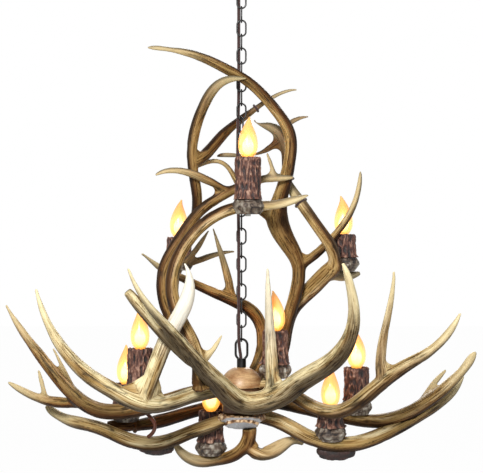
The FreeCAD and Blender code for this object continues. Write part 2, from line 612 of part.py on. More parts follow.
def main():
    os.makedirs("parts", exist_ok=True)
    save("canopy", canopy())
    save("canopy_crossbar", crossbar())
    save("canopy_nipple", tube(PIPE_RADIUS, PIPE_BORE, NIPPLE_TOP, CANOPY_LOOP_TOP + 1.5))
    nuts = [hex_nut(-BAR_THICK - SEAT, NUT_THICK), hex_nut(-CANOPY_HEIGHT + CANOPY_WALL + SEAT + NUT_THICK, NUT_THICK)]
    save("canopy_locknuts", Part.makeCompound(nuts))
    save("canopy_loop", threaded_loop(CANOPY_LOOP_TOP, CANOPY_LOOP_LENGTH, False))
    save("chain_links", chain())
    save("supply_cord", cord())
    save("hub_loop", threaded_loop(HUB_LOOP_TOP, LOOP_LENGTH, True))
    save("hub_nipple", tube(PIPE_RADIUS, PIPE_BORE, CAP_TOP + COLLAR_HEIGHT - 1.5, CAP_BOTTOM - 22))
    save("hub_cap", hub_cap())
    save("hub_block", hub_body())

    candles = [Candle(*row) for row in CANDLES]
    save("hub_rosette", hub_rosette())
    fitted = fit_antlers()
    cups = []
    for candle in candles:
        foot = V(candle.at.x, candle.at.y, candle.foot - CUP_HEIGHT)
        makers = [lambda gap, points=points: branch(points, gap) for beam in ANTLERS.values() for points in beam
                  if near([(foot, CUP_RADIUS)], beads(points))]
        makers += [lambda gap, row=row: burr(*row, gap) for row in BURRS.values()
                   if seen(*row[0]).distanceToPoint(foot) < 2 * CUP_RADIUS]
        cups.append(biggest(cut_back(candle.cup(), makers).cut(candle.pipe_hole())))
        fitted[candle.below] = biggest(fitted[candle.below].cut(candle.pipe_hole()))
    for name, solid in fitted.items():
        save(name, solid)
    save("candle_cups", Part.makeCompound(cups))
    save("socket_pipes", Part.makeCompound([candle.pipe() for candle in candles]))
    save("candle_sleeves", Part.makeCompound([candle.sleeve() for candle in candles]))
    save("lamp_sockets", Part.makeCompound([candle.socket() for candle in candles]))
    save("socket_shells", Part.makeCompound([candle.shell() for candle in candles]))
    for number, candle in enumerate(candles, 1):
        save("bulb_%d" % number, candle.glass())
        save("bulb_cap_%d" % number, candle.bulb_cap())


if __name__ == "__main__":
    main()
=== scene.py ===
"""Looks of the antler chandelier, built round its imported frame.  Metres, +Z up, seen from -Y."""
import math

import bmesh
import bpy
import numpy as np
from mathutils import Matrix, Vector


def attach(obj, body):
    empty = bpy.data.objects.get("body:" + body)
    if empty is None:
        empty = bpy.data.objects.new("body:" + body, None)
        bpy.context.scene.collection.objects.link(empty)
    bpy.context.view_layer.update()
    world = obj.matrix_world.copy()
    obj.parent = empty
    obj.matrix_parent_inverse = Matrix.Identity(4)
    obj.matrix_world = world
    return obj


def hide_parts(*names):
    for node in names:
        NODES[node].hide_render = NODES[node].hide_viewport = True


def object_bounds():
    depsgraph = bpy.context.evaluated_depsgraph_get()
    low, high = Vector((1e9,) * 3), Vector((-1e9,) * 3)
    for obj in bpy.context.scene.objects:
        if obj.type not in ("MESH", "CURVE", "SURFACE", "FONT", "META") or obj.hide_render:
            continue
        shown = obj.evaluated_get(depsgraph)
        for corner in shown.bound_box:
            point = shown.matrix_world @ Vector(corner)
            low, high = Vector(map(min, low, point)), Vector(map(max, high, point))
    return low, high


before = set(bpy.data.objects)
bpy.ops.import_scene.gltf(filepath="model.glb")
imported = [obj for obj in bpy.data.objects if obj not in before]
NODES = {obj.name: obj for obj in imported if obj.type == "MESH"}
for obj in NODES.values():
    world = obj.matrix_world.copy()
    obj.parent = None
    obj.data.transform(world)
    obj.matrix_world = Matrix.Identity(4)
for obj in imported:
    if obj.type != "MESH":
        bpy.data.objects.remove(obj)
cad_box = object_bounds()

# ---------------------------------------------------------------- the photograph as a measure
SCALE = 0.870 / 469.5     # metres for a pixel, at the chain
AXIS_U, LEVEL_V = 241.5, 236.5
EYE = 2.6
EYE_Z = -0.54567
PHOTO_WIDE, SENSOR = 483, 36.0

# Routes of the antlers: (column, row, depth mm, width in pixels).  The first of each is its beam.
ANTLERS = {
    "antler_front_bow": [
        [(128, 268, -300, 3), (145, 301, -285, 7), (170, 330, -245, 11), (198, 363, -175, 17),
         (223, 389, -100, 22), (246, 403, -60, 25), (272, 399, -64, 25), (303, 380, -110, 22),
         (337, 357, -175, 19), (353, 326, -215, 14), (350, 285, -235, 9), (342.5, 263, -240, 3)],
        [(127, 291, -235, 9), (140, 307, -230, 12), (163, 334, -215, 12), (192, 362, -182, 12)],
        [(267.5, 268.5, -74, 2.5), (268.5, 300, -66, 5.5), (270.5, 340, -60, 9), (273, 392, -62, 12)],
    ],
    "antler_left_front": [
        [(36, 289, -150, 3.5), (45.5, 318, -158, 7.5), (61, 346, -168, 12), (87, 374, -182, 16),
         (117, 393, -194, 17), (141, 404, -188, 17), (164, 404, -158, 16), (186, 397, -112, 16),
         (210, 391, -62, 16), (237, 389, -10, 14)],
        [(184.3, 263, -136, 2), (189.5, 285, -146, 9), (183, 309, -162, 13.5), (170, 333, -178, 14),
         (157, 362, -186, 14), (143, 402, -189, 12)],
    ],
    "antler_left_middle": [
        [(6, 305, 40, 3), (24, 334, 34, 8), (46, 363, 22, 12), (72, 393, 6, 15),
         (95, 409, -8, 16.5), (123, 411.5, -12, 16), (152, 405.5, -10, 16), (178, 397.5, -14, 15.5),
         (202, 390, -14, 12), (237, 389, -8, 12)],
        [(8, 382, 90, 2.5), (27, 393, 74, 8), (52, 401.5, 44, 11.5), (76, 403, 14, 11), (90, 404, -6, 8)],
        [(38.6, 370, 70, 2.5), (41.5, 382, 64, 5), (46, 399, 54, 6)],
        [(53, 348.5, 50, 2.5), (61, 364, 30, 5), (76, 395, 2, 7)],
    ],
    "antler_left_low": [
        [(46, 406, 110, 3), (58, 415, 98, 9), (75, 422, 66, 12.5), (102, 429, 24, 13.5),
         (132, 441, 6, 15), (160, 443, 0, 15), (191, 432, -6, 14), (214, 424, -8, 14), (238, 418, -4, 14)],
    ],
    "antler_left_rear": [
        [(107, 426, 55, 9), (128, 426, 58, 11), (160, 421, 70, 14), (195, 411, 78, 13),
         (220, 405, 58, 13), (240, 400, 18, 13)],
    ],
    "antler_right_front": [
        [(460.5, 313, -150, 3), (450, 331, -152, 8), (430, 351, -150, 10), (403, 367, -142, 14),
         (386, 379, -132, 16), (366, 396, -112, 15.5), (340, 411, -78, 14.5), (316, 408, -48, 14),
         (290, 393, -26, 14), (248, 388, -4, 13)],
        [(394, 271, -170, 3), (389.5, 308, -160, 7), (382, 347, -146, 10), (382, 382, -131, 12)],
    ],
    "antler_right_middle": [
        [(475.5, 351.5, 110, 3), (463, 370, 104, 9), (446, 387, 88, 12), (422, 405, 62, 14),
         (388, 420, 36, 15), (352, 419, 21, 13), (310, 410, 24, 13), (245, 399, 6, 13)],
        [(446, 370, 130, 2.5), (437, 380, 116, 6), (420, 404, 64, 8)],
    ],
    "antler_right_low": [
        [(463, 376, 170, 3), (452, 391, 148, 10), (425, 411, 84, 14), (382, 434.5, 18, 15),
         (345, 444.5, -16, 16), (312, 438.5, -20, 15), (282, 423, -10, 15), (247, 417, -2, 14)],
    ],
    "antler_bottom": [
        [(174, 441, 32, 3), (181, 452, 31, 9), (194, 460, 30, 12), (216, 460, 27, 12),
         (236, 454, 14, 13), (246, 444, 8, 14), (249, 428, 2, 15)],
        [(303, 444, 24, 3), (288, 442, 19, 8), (270, 452, 12, 11), (247, 444, 8, 10)],
    ],
    "antler_rear_bow": [
        [(243, 403, 10, 17), (244, 405, 60, 20), (248, 398, 110, 19), (254, 380, 175, 16),
         (263, 350, 235, 13), (270, 323, 275, 9), (275, 300, 300, 3.5)],
        [(165, 325, 290, 3), (182, 344, 262, 8), (203, 368, 200, 10), (245, 404, 80, 12)],
        [(352, 333, 290, 3), (337, 357, 262, 8), (303, 381, 195, 11), (247, 403, 90, 12)],
    ],
    "antler_front_arch": [
        [(202, 388, -128, 15), (199, 372, -140, 15), (197, 355, -148, 14), (184, 326, -132, 13.5),
         (174, 303, -115, 13.5), (172.5, 277, -102, 13.5), (184, 247, -94, 13), (209, 220, -88, 12.5),
         (243, 206.5, -86, 12), (273, 205, -86, 9.5), (297, 199, -84, 7), (308.5, 195, -82, 2.5)],
        [(222, 335, -146, 2), (216, 345, -146, 5), (199, 366, -142, 8)],
    ],
    "antler_second_arch": [
        [(294, 177.3, -36, 2), (280, 178, -38, 8), (258, 180, -41, 8.5), (227, 193, -47, 11),
         (203, 208.5, -52, 11), (180, 238, -56, 12), (163, 272, -60, 12), (166, 308, -62, 12),
         (184, 345, -52, 11), (210, 380, -40, 11), (236, 392, -10, 12)],
        [(155.3, 175.2, -78, 2.5), (167, 170.8, -74, 5.5), (193.6, 174.4, -64, 8.4), (229, 191, -48, 8)],
        [(266.7, 152.6, -48, 2), (270.5, 163, -44, 4.5), (275, 178, -39, 6.5)],
    ],
    "antler_left_arch": [
        [(246.4, 78.2, -44, 2), (235, 78.5, -47, 6), (219, 84, -51, 9.5), (205, 103, -51, 11),
         (195, 130, -47, 11.5), (192, 160, -44, 11), (196.6, 193.6, -36, 11), (193, 225, -14, 10),
         (175, 265, 12, 10), (174, 300, 20, 10), (187, 342, 34, 10), (207, 371, 58, 11), (226, 386, 44, 11),
         (241, 393, 12, 11)],
        [(297, 89.8, 34, 1.8), (284, 92, 38, 3.8), (262, 104, 40, 5.4), (243, 118, 36, 8),
         (221, 137, 14, 11), (206, 154, -20, 12), (194, 162, -42, 11)],
    ],
    "antler_top_arch": [
        [(147.3, 47.6, -60, 1.8), (166.8, 49.1, -58, 5), (197.4, 55.8, -52, 9), (228, 69.8, -40, 11),
         (251, 84, -28, 11), (273, 107, -22, 11.5), (289.7, 135, -20, 12.7), (289.5, 162, -20, 12.5),
         (281, 195, -8, 15), (277, 217, 5, 23), (286, 240, 13, 19), (298, 264, 18, 14),
         (295, 296, 19, 13), (284, 335, 22, 13), (278, 362, 20, 13), (250, 390, 6, 13)],
        [(194, 167, -32, 3.5), (206, 162.5, -4, 5), (224, 163.7, 16, 5), (236, 180, 24, 6.5),
         (250, 199, 20, 9), (272, 216, 8, 13)],
        [(360.4, 171, 36, 2), (359, 187, 36, 5.4), (350.4, 212.7, 32, 7), (335, 235, 28, 7.6),
         (316, 254, 22, 9.5), (299, 266, 18, 11)],
    ],
    "antler_top_fork": [
        [(254, 119.5, 38, 3), (266.7, 125.8, 40, 8), (279, 133, 38, 12), (286, 150, 36, 11),
         (286, 180, 36, 10), (280, 212, 26, 9)],
        [(216.5, 156.5, 34, 1.8), (240, 155.5, 38, 4), (264.4, 151, 40, 5), (274, 145, 38, 8.4),
         (284, 138, 37, 8)],
        [(308.8, 116.6, 42, 2), (296, 119.5, 41, 4.8), (281, 133, 38, 7)],
    ],
    "antler_right_upper": [
        [(248, 400, 30, 13), (272, 378, 78, 13), (284, 345, 76, 13), (292, 312, 56, 13),
         (314, 286, 36, 17), (330, 270, 20, 17), (340, 259, 10, 8)],
        [(286, 166, 13, 3), (290.5, 187, 12, 9), (301, 203, 6, 11.5), (320, 230, -4, 12),
         (333, 252, 4, 13), (334, 266, 14, 12), (326, 277, 24, 9)],
        [(360, 273, 70, 4), (346, 276, 60, 10), (329, 271, 26, 13)],
    ],
    "antler_left_cross": [
        [(141.5, 253.6, -50, 3), (160.6, 268, -30, 7), (182, 278, -4, 8), (206.5, 289.5, 18, 10),
         (236, 302, 34, 13), (256, 316, 44, 13), (262, 335, 50, 11.5), (259, 358, 52, 11),
         (246, 380, 22, 11)],
        [(213, 228, 70, 2), (221, 253.6, 58, 6), (226.5, 273, 46, 8), (232, 300, 34, 10)],
    ],
    "antler_left_upper": [
        [(208.8, 230.6, 60, 2), (202.7, 239.8, 64, 4.6), (192.5, 254.5, 75, 6.5), (178, 271, 108, 9),
         (174, 290, 118, 9.5), (181, 325, 122, 10), (199, 357, 112, 10), (222, 385, 95, 11),
         (243, 401, 55, 12)],
        [(234.8, 251.6, 80, 2), (216.4, 254.3, 86, 5.4), (198.8, 260.4, 94, 7), (181, 267, 106, 6)],
    ],
}
# Burrs: (column, row, depth mm), width in pixels.
BURRS = {"antler_front_arch": ((202, 386, -130), 21), "antler_left_rear": ((134, 425.5, 60), 15.5)}
# Candles: column, row of the rim, depth mm, sleeve height mm, way the flame tip bends.
CANDLES = [
    (248.0, 157, -88, 76, 60),
    (179.0, 237, 111, 38, 20),
    (343.5, 234, 58, 44, 180),
    (140.0, 348, -11, 74, 240),
    (126.0, 383, 58, 46, 90),
    (211.0, 410, 28, 58, 300),
    (275.5, 330, -20, 62, 160),
    (356.5, 367, 21, 62, 200),
    (330.5, 406, -20, 38, 40),
]
PALM = 0.034              # no part of an antler is thicker than this from front to back
SLEEVE_RADIUS, SLEEVE_BORE = 0.023, 0.0184
# The chain's links, and how the cord passes them and the loops at its ends.
LINK_COUNT, LINK_PITCH, FIRST_LINK_Z = 26, 0.0257, -0.08265
CHAIN_TWIST, TWIST_START, TWIST_END = 90.0, 8, 17
SWAY_Z, TILT_Z = -0.0721, -0.7397
NIPPLE_END, LOOP_NECK, HUB_NECK, CORD_END = -0.003, -0.0403, -0.7735, -0.8055
PAST_LINK, PAST_LOOP, LOOP_TURN = 0.00721, 0.00765, 48.18
CORD_RADIUS = 0.003
BULB_RADIUS, BULB_LENGTH, BULB_SEAT = 0.0175, 0.076, -0.004

# The arches get painted shade on the outside of their curve: column and row of its middle.  The rest get
# painted shade below.
CURVED_ABOUT = {
    "antler_left_arch": (246, 165), "antler_top_arch": (232, 185), "antler_second_arch": (250, 290),
    "antler_front_arch": (250, 295), "antler_left_upper": (245, 330), "antler_right_upper": (250, 300),
    "antler_top_fork": (262, 160),
}
# How each antler is stained, from 0 to 1: darkness, orange, paleness.
STAIN = {
    "antler_front_bow": (0.00, 0.10, 0.50), "antler_left_front": (0.02, 0.05, 0.40),
    "antler_left_middle": (0.18, 0.40, 0.10), "antler_left_low": (0.15, 0.05, 0.35),
    "antler_left_rear": (0.50, 0.45, 0.00), "antler_right_front": (0.08, 0.25, 0.30),
    "antler_right_middle": (0.20, 0.25, 0.20), "antler_right_low": (0.18, 0.10, 0.25),
    "antler_bottom": (0.30, 0.25, 0.05), "antler_rear_bow": (0.50, 0.20, 0.00),
    "antler_front_arch": (0.10, 0.28, 0.15), "antler_second_arch": (0.34, 0.12, 0.00),
    "antler_left_arch": (0.36, 0.00, 0.05), "antler_top_arch": (0.26, 0.00, 0.05),
    "antler_top_fork": (0.60, 0.15, 0.00), "antler_right_upper": (0.12, 0.25, 0.10),
    "antler_left_cross": (0.30, 0.35, 0.00), "antler_left_upper": (0.45, 0.25, 0.00),
}
# How wide a fork's web grows, metres, and how far round a fork the surface is smoothed.
WEB = 0.012
WEBS = {
    "antler_left_front": 0.042, "antler_right_upper": 0.026, "antler_left_middle": 0.005,
    "antler_front_bow": 0.016,
}
FORK_REACH = 0.026
# Single branches that are paler than the rest of their antler: antler, branch, share.
PALE_BRANCHES = {("antler_left_front", 1): 0.75, ("antler_front_bow", 2): 0.40}
# Single branches that are fuller than their CAD loft, as a share of their radius.
FULLER = {("antler_front_bow", 2): 0.30, ("antler_bottom", 1): 0.35, ("antler_left_front", 1): 0.20}
# Small forms that the CAD leaves out.  Knots under the low antlers: column, row, depth mm, then
# width and height in pixels.  Ties: antler, branch, column and row.  Strap: as an antler's route.
KNOTS = [(156, 448, 6, 35, 15), (336, 452, -14, 38, 17)]
TIES = [
    ("antler_left_arch", 1, 257, 107), ("antler_top_arch", 0, 290, 178), ("antler_right_upper", 1, 301, 203),
]
TIE_RADIUS = 0.0022
STRAP = [
    (147.5, 414, 12, 3.8), (152, 419, 4, 3.8), (155, 426, -4, 3.8), (152.5, 433, -8, 3.8), (148, 437, -6, 3.8),
]
# How fine the voxel remeshes are, metres.
ANTLER_VOXEL, CUP_VOXEL, ROSETTE_VOXEL = 0.0017, 0.0011, 0.0012


def srgb(*colour):
    """A colour as it is seen, made linear."""
    return [c / 12.92 if c <= 0.04045 else ((c + 0.055) / 1.055) ** 2.4 for c in colour]


CREAM = np.array(srgb(0.94, 0.89, 0.72))
TAN = np.array(srgb(0.69, 0.57, 0.36))
BROWN = np.array(srgb(0.37, 0.24, 0.11))
DARK = np.array(srgb(0.08, 0.045, 0.025))
ORANGE = np.array(srgb(0.70, 0.38, 0.12))
OLIVE = np.array(srgb(0.48, 0.42, 0.24))
PALE = np.array(srgb(0.98, 0.97, 0.93))


# ---------------------------------------------------------------- noise
def lattice(x, y, z, seed):
    h = (x * 374761393 + y * 668265263 + z * 1442695041 + seed * 974634777) & 0xFFFFFFFF
    h = ((h ^ (h >> 13)) * 1274126177) & 0xFFFFFFFF
    return ((h ^ (h >> 16)) & 0xFFFFFF) / float(0xFFFFFF) * 2.0 - 1.0


def noise(points, seed=0):
    """Smooth noise from -1 to 1 at each point."""
    base = np.floor(points).astype(np.int64)
    part = points - base
    part = part * part * (3.0 - 2.0 * part)
    total = np.zeros(len(points))
    for corner in range(8):
        step = np.array([corner & 1, corner >> 1 & 1, corner >> 2])
        weight = np.prod(np.where(step, part, 1.0 - part), axis=1)
        at = base + step
        total += weight * lattice(at[:, 0], at[:, 1], at[:, 2], seed)
    return total


def layered(points, seed=0, octaves=3):
    total = np.zeros(len(points))
    share = 1.0
    for octave in range(octaves):
        total += share * noise(points * 2.0 ** octave, seed + 31 * octave)
        share *= 0.5
    return total / (2.0 - 2.0 ** (1 - octaves))


def smooth(value, low, high):
    t = np.clip((value - low) / (high - low), 0.0, 1.0)
    return t * t * (3.0 - 2.0 * t)


def mix(a, b, share):
    share = np.asarray(share)[:, None]
    return a * (1.0 - share) + b * share


# ---------------------------------------------------------------- meshes
def seen(column, row, depth):
    """The point that far behind the chain, on the line of sight through a pixel."""
    deep = depth / 1000.0
    grow = SCALE * (EYE + deep) / EYE
    return np.array([(column - AXIS_U) * grow, deep, EYE_Z + (LEVEL_V - row) * grow])


def spread(values, knots, places):
    """A smooth curve through values at knots, read at places."""
    count = len(knots)
    gap = np.diff(knots)
    matrix = np.zeros((count, count))
    right = np.zeros((count, values.shape[1]))
    matrix[0, 0] = matrix[-1, -1] = 1.0
    for i in range(1, count - 1):
        matrix[i, i - 1:i + 2] = gap[i - 1], 2 * (gap[i - 1] + gap[i]), gap[i]
        right[i] = 3 * ((values[i + 1] - values[i]) / gap[i] - (values[i] - values[i - 1]) / gap[i - 1])
    bend = np.linalg.solve(matrix, right)
    i = np.clip(np.searchsorted(knots, places, side="right") - 1, 0, count - 2)
    t = (places - knots[i])[:, None]
    h = gap[i][:, None]
    slope = (values[i + 1] - values[i]) / h - h * (2 * bend[i] + bend[i + 1]) / 3
    return values[i] + slope * t + bend[i] * t ** 2 + (bend[i + 1] - bend[i]) / (3 * h) * t ** 3


class Route:
    """A branch's centre line, sampled finely, with a frame that doesn't twist and the radius there."""

    def __init__(self, points):
        places = np.array([seen(*p[:3]) for p in points])
        radii = np.array([p[3] * SCALE * (EYE + p[2] / 1000.0) / EYE / 2 for p in points])
        knots = np.concatenate([[0.0], np.cumsum(np.linalg.norm(np.diff(places, axis=0), axis=1))])
        fine = np.linspace(0.0, knots[-1], int(knots[-1] / 0.002) + 2)
        self.line = spread(places, knots, fine)
        self.radius = np.interp(fine, knots, radii)
        self.along = np.concatenate([[0.0], np.cumsum(np.linalg.norm(np.diff(self.line, axis=0), axis=1))])
        tangent = np.gradient(self.line, axis=0)
        tangent /= np.linalg.norm(tangent, axis=1)[:, None]
        across = np.zeros_like(tangent)
        last = np.cross(tangent[0], [0.3, 1.0, 0.2])
        for i, t in enumerate(tangent):
            last = last - t * last.dot(t)
            last /= np.linalg.norm(last)
            across[i] = last
        self.tangent, self.across, self.third = tangent, across, np.cross(tangent, across)
        self.tapers = (radii[0] < 0.004, radii[-1] < 0.004)

    def read(self, points):
        """For each point: distance over radius, radius, way along, and its angle's cosine and sine."""
        index = np.zeros(len(points), int)
        for start in range(0, len(points), 4000):
            block = points[start:start + 4000]
            far = ((block[:, None, :] - self.line[None, ::2, :]) ** 2).sum(axis=2)
            index[start:start + 4000] = far.argmin(axis=1) * 2
        index = np.minimum(index, len(self.line) - 1)
        away = points - self.line[index]
        shift = (away * self.tangent[index]).sum(axis=1)
        x = (away * self.across[index]).sum(axis=1)
        y = (away * self.third[index]).sum(axis=1)
        out = np.maximum(np.hypot(x, y), 1e-6)
        radius = self.radius[index]
        return np.hypot(out, shift) / radius, radius, self.along[index] + shift, x / out, y / out


def web_struts(routes, most):
    """Struts that fill each fork between a tine and its beam, up to where the two are that far apart."""
    struts = []
    beam = routes[0]
    for tine in routes[1:]:
        start = int(np.linalg.norm(beam.line - tine.line[-1], axis=1).argmin())
        for way in (-1, 1):
            for step in range(1, len(tine.line)):
                here, there = len(tine.line) - 1 - step, start + way * step
                if not 0 <= there < len(beam.line):
                    break
                a, b = tine.line[here], beam.line[there]
                thick = min(tine.radius[here], beam.radius[there], PALM / 2)
                apart = np.linalg.norm(a - b) - tine.radius[here] - beam.radius[there]
                if apart > most:
                    break
                if apart > -0.5 * thick:
                    struts.append((a, b, thick * (0.90 - 0.45 * max(apart, 0.0) / most)))
    return struts


def add_struts(mesh, struts):
    """Short eight-sided bars, to be fused by the remesh."""
    grown = bmesh.new()
    grown.from_mesh(mesh)
    for a, b, radius in struts:
        way = Vector(b - a)
        place = Matrix.Translation(Vector((a + b) / 2)) @ way.to_track_quat("Z", "Y").to_matrix().to_4x4()
        bmesh.ops.create_cone(grown, cap_ends=True, segments=8, radius1=radius, radius2=radius,
                              depth=way.length, matrix=place)
    grown.to_mesh(mesh)
    grown.free()


def finely(source, voxel, name, struts=()):
    """A closed, evenly fine copy of a CAD node's mesh."""
    piece = bpy.data.objects.new(name, source.data.copy())
    if struts:
        add_struts(piece.data, struts)
    bpy.context.scene.collection.objects.link(piece)
    remesh = piece.modifiers.new("fine", "REMESH")
    remesh.mode = "VOXEL"
    remesh.voxel_size = voxel
    bpy.context.view_layer.update()
    mesh = bpy.data.meshes.new_from_object(piece.evaluated_get(bpy.context.evaluated_depsgraph_get()))
    piece.modifiers.clear()
    piece.data = mesh
    mesh.materials.clear()
    mesh.polygons.foreach_set("use_smooth", [True] * len(mesh.polygons))
    return piece


def read_mesh(mesh):
    count = len(mesh.vertices)
    places, normals = np.zeros(count * 3), np.zeros(count * 3)
    mesh.vertices.foreach_get("co", places)
    mesh.vertices.foreach_get("normal", normals)
    edges = np.zeros(len(mesh.edges) * 2, int)
    mesh.edges.foreach_get("vertices", edges)
    return places.reshape(-1, 3), normals.reshape(-1, 3), edges.reshape(-1, 2)


def relaxed(values, edges, rounds, share=0.5):
    """Values drawn towards the mean of their neighbours; share may differ from point to point."""
    values = values.copy()
    count = np.bincount(edges.ravel(), minlength=len(values)).astype(float)
    count = np.maximum(count, 1.0)
    share = np.asarray(share)
    if values.ndim == 2:
        count = count[:, None]
        share = share[:, None] if share.ndim else share
    for _ in range(rounds):
        total = np.zeros_like(values)
        np.add.at(total, edges[:, 0], values[edges[:, 1]])
        np.add.at(total, edges[:, 1], values[edges[:, 0]])
        values += share * (total / count - values)
    return values


def write_mesh(mesh, places):
    mesh.vertices.foreach_set("co", places.ravel())
    mesh.update()


def keep_value(mesh, name, values):
    mesh.attributes.new(name, "FLOAT", "POINT").data.foreach_set("value", values.astype(np.float32))


def keep_vector(mesh, name, values):
    flat = values.astype(np.float32).ravel()
    mesh.attributes.new(name, "FLOAT_VECTOR", "POINT").data.foreach_set("vector", flat)


def keep_colour(mesh, name, values):
    rgba = np.ones((len(values), 4), np.float32)
    rgba[:, :3] = np.clip(values, 0.0, 1.0)
    mesh.color_attributes.new(name, "FLOAT_COLOR", "POINT").data.foreach_set("color", rgba.ravel())


def new_piece(name, places, faces):
    mesh = bpy.data.meshes.new(name)
    mesh.from_pydata([tuple(p) for p in places], [], faces)
    mesh.polygons.foreach_set("use_smooth", [True] * len(mesh.polygons))
    mesh.update()
    piece = bpy.data.objects.new(name, mesh)
    bpy.context.scene.collection.objects.link(piece)
    return piece


# ---------------------------------------------------------------- materials
class Shader:
    """Shorthand for building one material's nodes."""

    def __init__(self, name):
        self.material = bpy.data.materials.new(name)
        self.material.use_nodes = True
        self.tree = self.material.node_tree
        self.base = self.tree.nodes["Principled BSDF"]
        self.out = self.tree.nodes["Material Output"]

    def node(self, kind, **settings):
        node = self.tree.nodes.new(kind)
        for key, value in settings.items():
            setattr(node, key, value)
        return node

    def link(self, source, target):
        self.tree.links.new(source, target)

    def attribute(self, name):
        return self.node("ShaderNodeAttribute", attribute_name=name)

    def texture(self, vector, scale, detail=3.0, rough=0.55):
        node = self.node("ShaderNodeTexNoise")
        node.inputs["Scale"].default_value = scale
        node.inputs["Detail"].default_value = detail
        node.inputs["Roughness"].default_value = rough
        if vector is not None:
            self.link(vector, node.inputs["Vector"])
        return node.outputs["Fac"]

    def place(self):
        return self.node("ShaderNodeTexCoord").outputs["Object"]

    def stretched(self, vector, scale):
        node = self.node("ShaderNodeMapping")
        node.inputs["Scale"].default_value = scale
        self.link(vector, node.inputs["Vector"])
        return node.outputs["Vector"]

    def ramp(self, factor, stops):
        node = self.node("ShaderNodeValToRGB")
        ramp = node.color_ramp
        while len(ramp.elements) < len(stops):
            ramp.elements.new(0.5)
        for element, (place, colour) in zip(ramp.elements, stops):
            element.position = place
            element.color = (*colour, 1.0)
        self.link(factor, node.inputs["Fac"])
        return node.outputs["Color"]

    def blend(self, kind, factor, a, b):
        node = self.node("ShaderNodeMix", data_type="RGBA", blend_type=kind)
        for value, socket in ((factor, node.inputs[0]), (a, node.inputs[6]), (b, node.inputs[7])):
            if hasattr(value, "is_linked"):
                self.link(value, socket)
            elif isinstance(value, (int, float)):
                socket.default_value = value
            else:
                socket.default_value = (*value, 1.0)
        return node.outputs[2]

    def range(self, value, low, high, to_low, to_high):
        node = self.node("ShaderNodeMapRange")
        for index, number in enumerate((low, high, to_low, to_high), 1):
            node.inputs[index].default_value = number
        self.link(value, node.inputs[0])
        return node.outputs[0]

    def bump(self, height, distance, strength=1.0):
        node = self.node("ShaderNodeBump")
        node.inputs["Distance"].default_value = distance
        node.inputs["Strength"].default_value = strength
        self.link(height, node.inputs["Height"])
        self.link(node.outputs["Normal"], self.base.inputs["Normal"])


def antler_material():
    """Stained resin: painted colour at each point, stain and painted shade together, with fine streaks along
    the branch.
    """
    s = Shader("antler")
    flow = s.attribute("flow").outputs["Vector"]
    stain_and_shade = s.attribute("stain_and_shade").outputs["Color"]
    streak = s.texture(flow, 1.0, 3.0, 0.6)
    streaked = s.attribute("streaked").outputs["Fac"]
    shade = s.ramp(streak, [(0.30, (0.07, 0.04, 0.02)), (0.39, (0.34, 0.25, 0.15)),
                            (0.46, (0.82, 0.76, 0.65)), (0.54, (1.0, 1.0, 1.0)), (0.72, (1.0, 1.0, 0.98))])
    colour = s.blend("MULTIPLY", streaked, stain_and_shade, shade)
    hair = s.ramp(s.texture(flow, 2.6, 3.0, 0.6), [(0.32, (0.35, 0.27, 0.18)), (0.44, (1.0, 1.0, 1.0))])
    hairy = s.range(streaked, 0.0, 1.0, 0.0, 0.55)
    s.link(s.blend("MULTIPLY", hairy, colour, hair), s.base.inputs["Base Color"])
    s.link(s.range(streak, 0.3, 0.7, 0.62, 0.38), s.base.inputs["Roughness"])
    s.base.inputs["Specular IOR Level"].default_value = 0.12
    height = s.node("ShaderNodeMath", operation="MULTIPLY")
    s.link(streak, height.inputs[0])
    s.link(streaked, height.inputs[1])
    s.bump(height.outputs[0], 0.0011, 0.9)
    return s.material


def bark_material():
    """Red-brown bark with pale scuffed ridges."""
    s = Shader("bark")
    ridge = s.attribute("ridge").outputs["Fac"]
    fine = s.texture(s.stretched(s.place(), (1.0, 1.0, 0.35)), 330.0, 5.0, 0.65)
    body = s.ramp(ridge, [(0.22, srgb(0.06, 0.03, 0.02)), (0.48, srgb(0.25, 0.13, 0.10)),
                          (0.70, srgb(0.43, 0.28, 0.22)), (0.97, srgb(0.72, 0.58, 0.50))])
    grit = s.ramp(fine, [(0.36, (0.42, 0.34, 0.32)), (0.58, (1.0, 0.98, 0.96))])
    s.link(s.blend("MULTIPLY", 0.8, body, grit), s.base.inputs["Base Color"])
    s.link(s.range(fine, 0.3, 0.7, 0.75, 0.5), s.base.inputs["Roughness"])
    s.bump(fine, 0.0012, 0.9)
    return s.material


def cup_material():
    """Rough root wood: grey-white lobes with dark clefts."""
    s = Shader("cup")
    ridge = s.attribute("ridge").outputs["Fac"]
    fine = s.texture(s.place(), 260.0, 5.0, 0.65)
    body = s.ramp(ridge, [(0.15, srgb(0.12, 0.08, 0.06)), (0.42, srgb(0.36, 0.30, 0.25)),
                          (0.66, srgb(0.58, 0.55, 0.50)), (0.95, srgb(0.80, 0.79, 0.76))])
    grit = s.ramp(fine, [(0.33, (0.36, 0.31, 0.27)), (0.52, (1.0, 1.0, 1.0))])
    s.link(s.blend("MULTIPLY", 0.75, body, grit), s.base.inputs["Base Color"])
    s.base.inputs["Roughness"].default_value = 0.6
    s.bump(fine, 0.001, 0.8)
    return s.material


def rosette_material():
    """A burr: brown and knobbly, with a pale sawn face below."""
    s = Shader("rosette")
    ridge = s.attribute("ridge").outputs["Fac"]
    face = s.attribute("face").outputs["Fac"]
    fine = s.texture(s.place(), 300.0, 4.0, 0.6)
    side = s.ramp(ridge, [(0.2, srgb(0.25, 0.15, 0.09)), (0.5, srgb(0.55, 0.40, 0.26)),
                          (0.85, srgb(0.82, 0.70, 0.55))])
    butt = s.ramp(fine, [(0.3, srgb(0.66, 0.66, 0.68)), (0.6, srgb(0.86, 0.87, 0.90))])
    s.link(s.blend("MIX", face, side, butt), s.base.inputs["Base Color"])
    s.base.inputs["Roughness"].default_value = 0.5
    s.bump(fine, 0.0007, 0.8)
    return s.material


